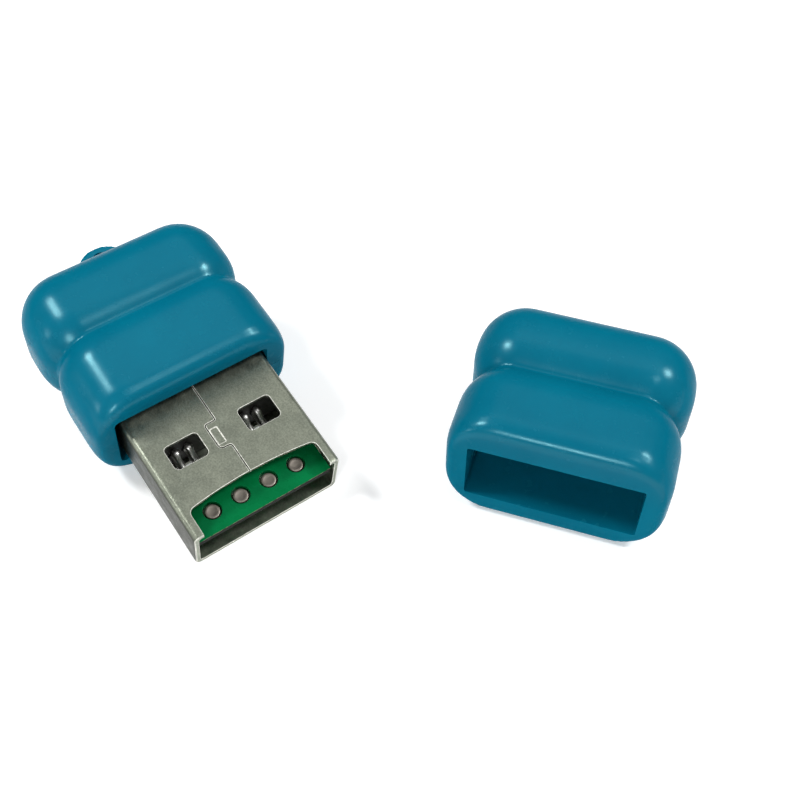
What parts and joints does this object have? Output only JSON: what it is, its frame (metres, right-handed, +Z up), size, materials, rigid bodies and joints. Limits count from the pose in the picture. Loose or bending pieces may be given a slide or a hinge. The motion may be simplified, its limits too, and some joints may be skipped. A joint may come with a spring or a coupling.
{
  "type": "usb flash drive",
  "caption": "Flash drive with a steel plug, a green contact board in its mouth, a puffy two-lobe housing with a key lug, and a matching loose cap.",
  "frame": {"origin": "on the table, under the middle of the bounding box of the drive and its cap as they lie side by side", "axes": "+Z up; -Y out of the cap's mouth; +X from the drive towards the cap"},
  "size_m": [0.0502, 0.0252, 0.0117],
  "materials": {
    "teal_plastic": "glossy moulded teal, one colour right through",
    "plated_steel": "satin nickel plate with fine scratches",
    "solder_mask": "green solder mask with a tan cut edge",
    "carrier_plastic": "matte black",
    "contact_metal": "plated spring metal",
    "chip_plastic": "matte moulded black",
    "ceramic_body": "tan ceramic with tinned ends"
  },
  "bodies": {
    "drive": {"housing_upper_shell": "teal_plastic", "housing_lower_shell": "teal_plastic", "plug_shell": "plated_steel", "tongue_board": "solder_mask", "terminal_carrier": "carrier_plastic", "contact_vbus": "contact_metal", "contact_data_minus": "contact_metal", "contact_data_plus": "contact_metal", "contact_ground": "contact_metal", "circuit_board": "solder_mask", "controller_chip": "chip_plastic", "flash_chip": "chip_plastic", "crystal": "contact_metal", "capacitor_input": "ceramic_body", "capacitor_core": "ceramic_body", "capacitor_crystal_left": "ceramic_body", "capacitor_crystal_right": "ceramic_body", "resistor_data_minus": "chip_plastic", "resistor_data_plus": "chip_plastic", "ferrite_bead": "chip_plastic"},
    "cap": {"cap_shell": "teal_plastic"}
  },
  "joints": [
    {"name": "cap_turn", "type": "hinge", "parent": "drive", "child": "cap", "pos_m": [0.00641, -0.00118, 0], "axis": [0, 0, -1], "range_deg": [0, 126.4]}
  ]
}
